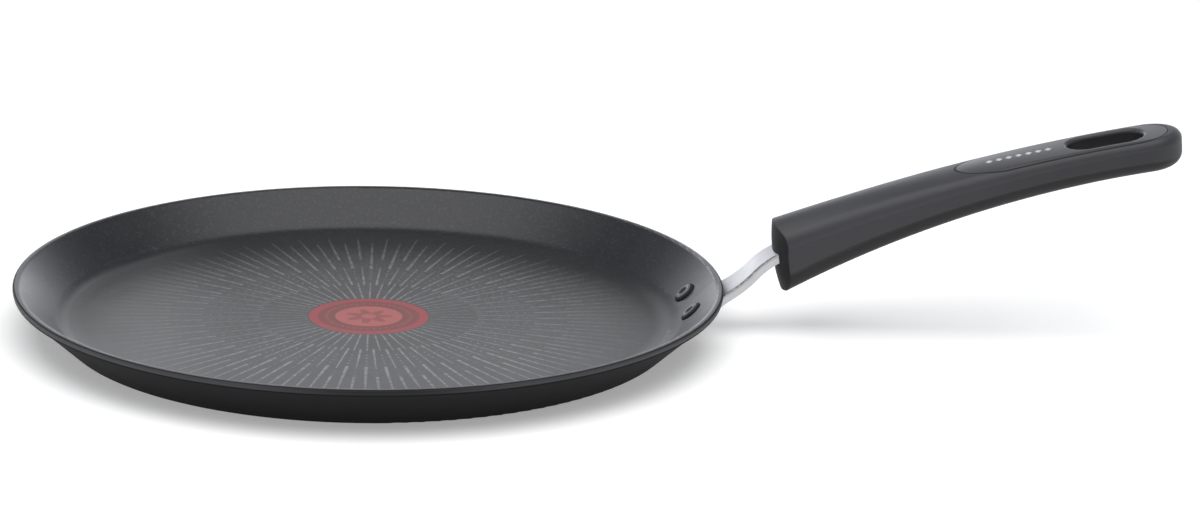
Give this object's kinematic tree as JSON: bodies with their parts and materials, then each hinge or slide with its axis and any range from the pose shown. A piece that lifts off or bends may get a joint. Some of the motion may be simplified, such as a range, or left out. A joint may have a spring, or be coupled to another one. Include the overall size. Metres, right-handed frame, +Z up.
{
  "type": "crepe pan",
  "caption": "Low round crepe pan with sloped wall, red heat spot, riveted metal bracket and dark moulded handle with hanging hole.",
  "frame": {"origin": "centre of the resting face under the dish", "axes": "+X from the dish towards the handle's tip, +Z up"},
  "size_m": [0.4289, 0.26, 0.0757],
  "materials": {
    "coated_aluminium": "satin",
    "base_steel": "brushed",
    "indicator_enamel": "satin",
    "bracket_steel": "satin",
    "rivet_coated": "satin",
    "grip_plastic": "matt",
    "inlay_plastic": "satin",
    "screw_steel": "plated"
  },
  "bodies": {
    "root": {"pan_body": "coated_aluminium", "induction_plate": "base_steel", "heat_indicator": "indicator_enamel", "handle_bracket": "bracket_steel", "rivet_near": "rivet_coated", "rivet_far": "rivet_coated", "grip_body": "grip_plastic", "grip_inlay": "inlay_plastic", "handle_screw": "screw_steel", "lock_washer": "screw_steel"}
  },
  "joints": []
}
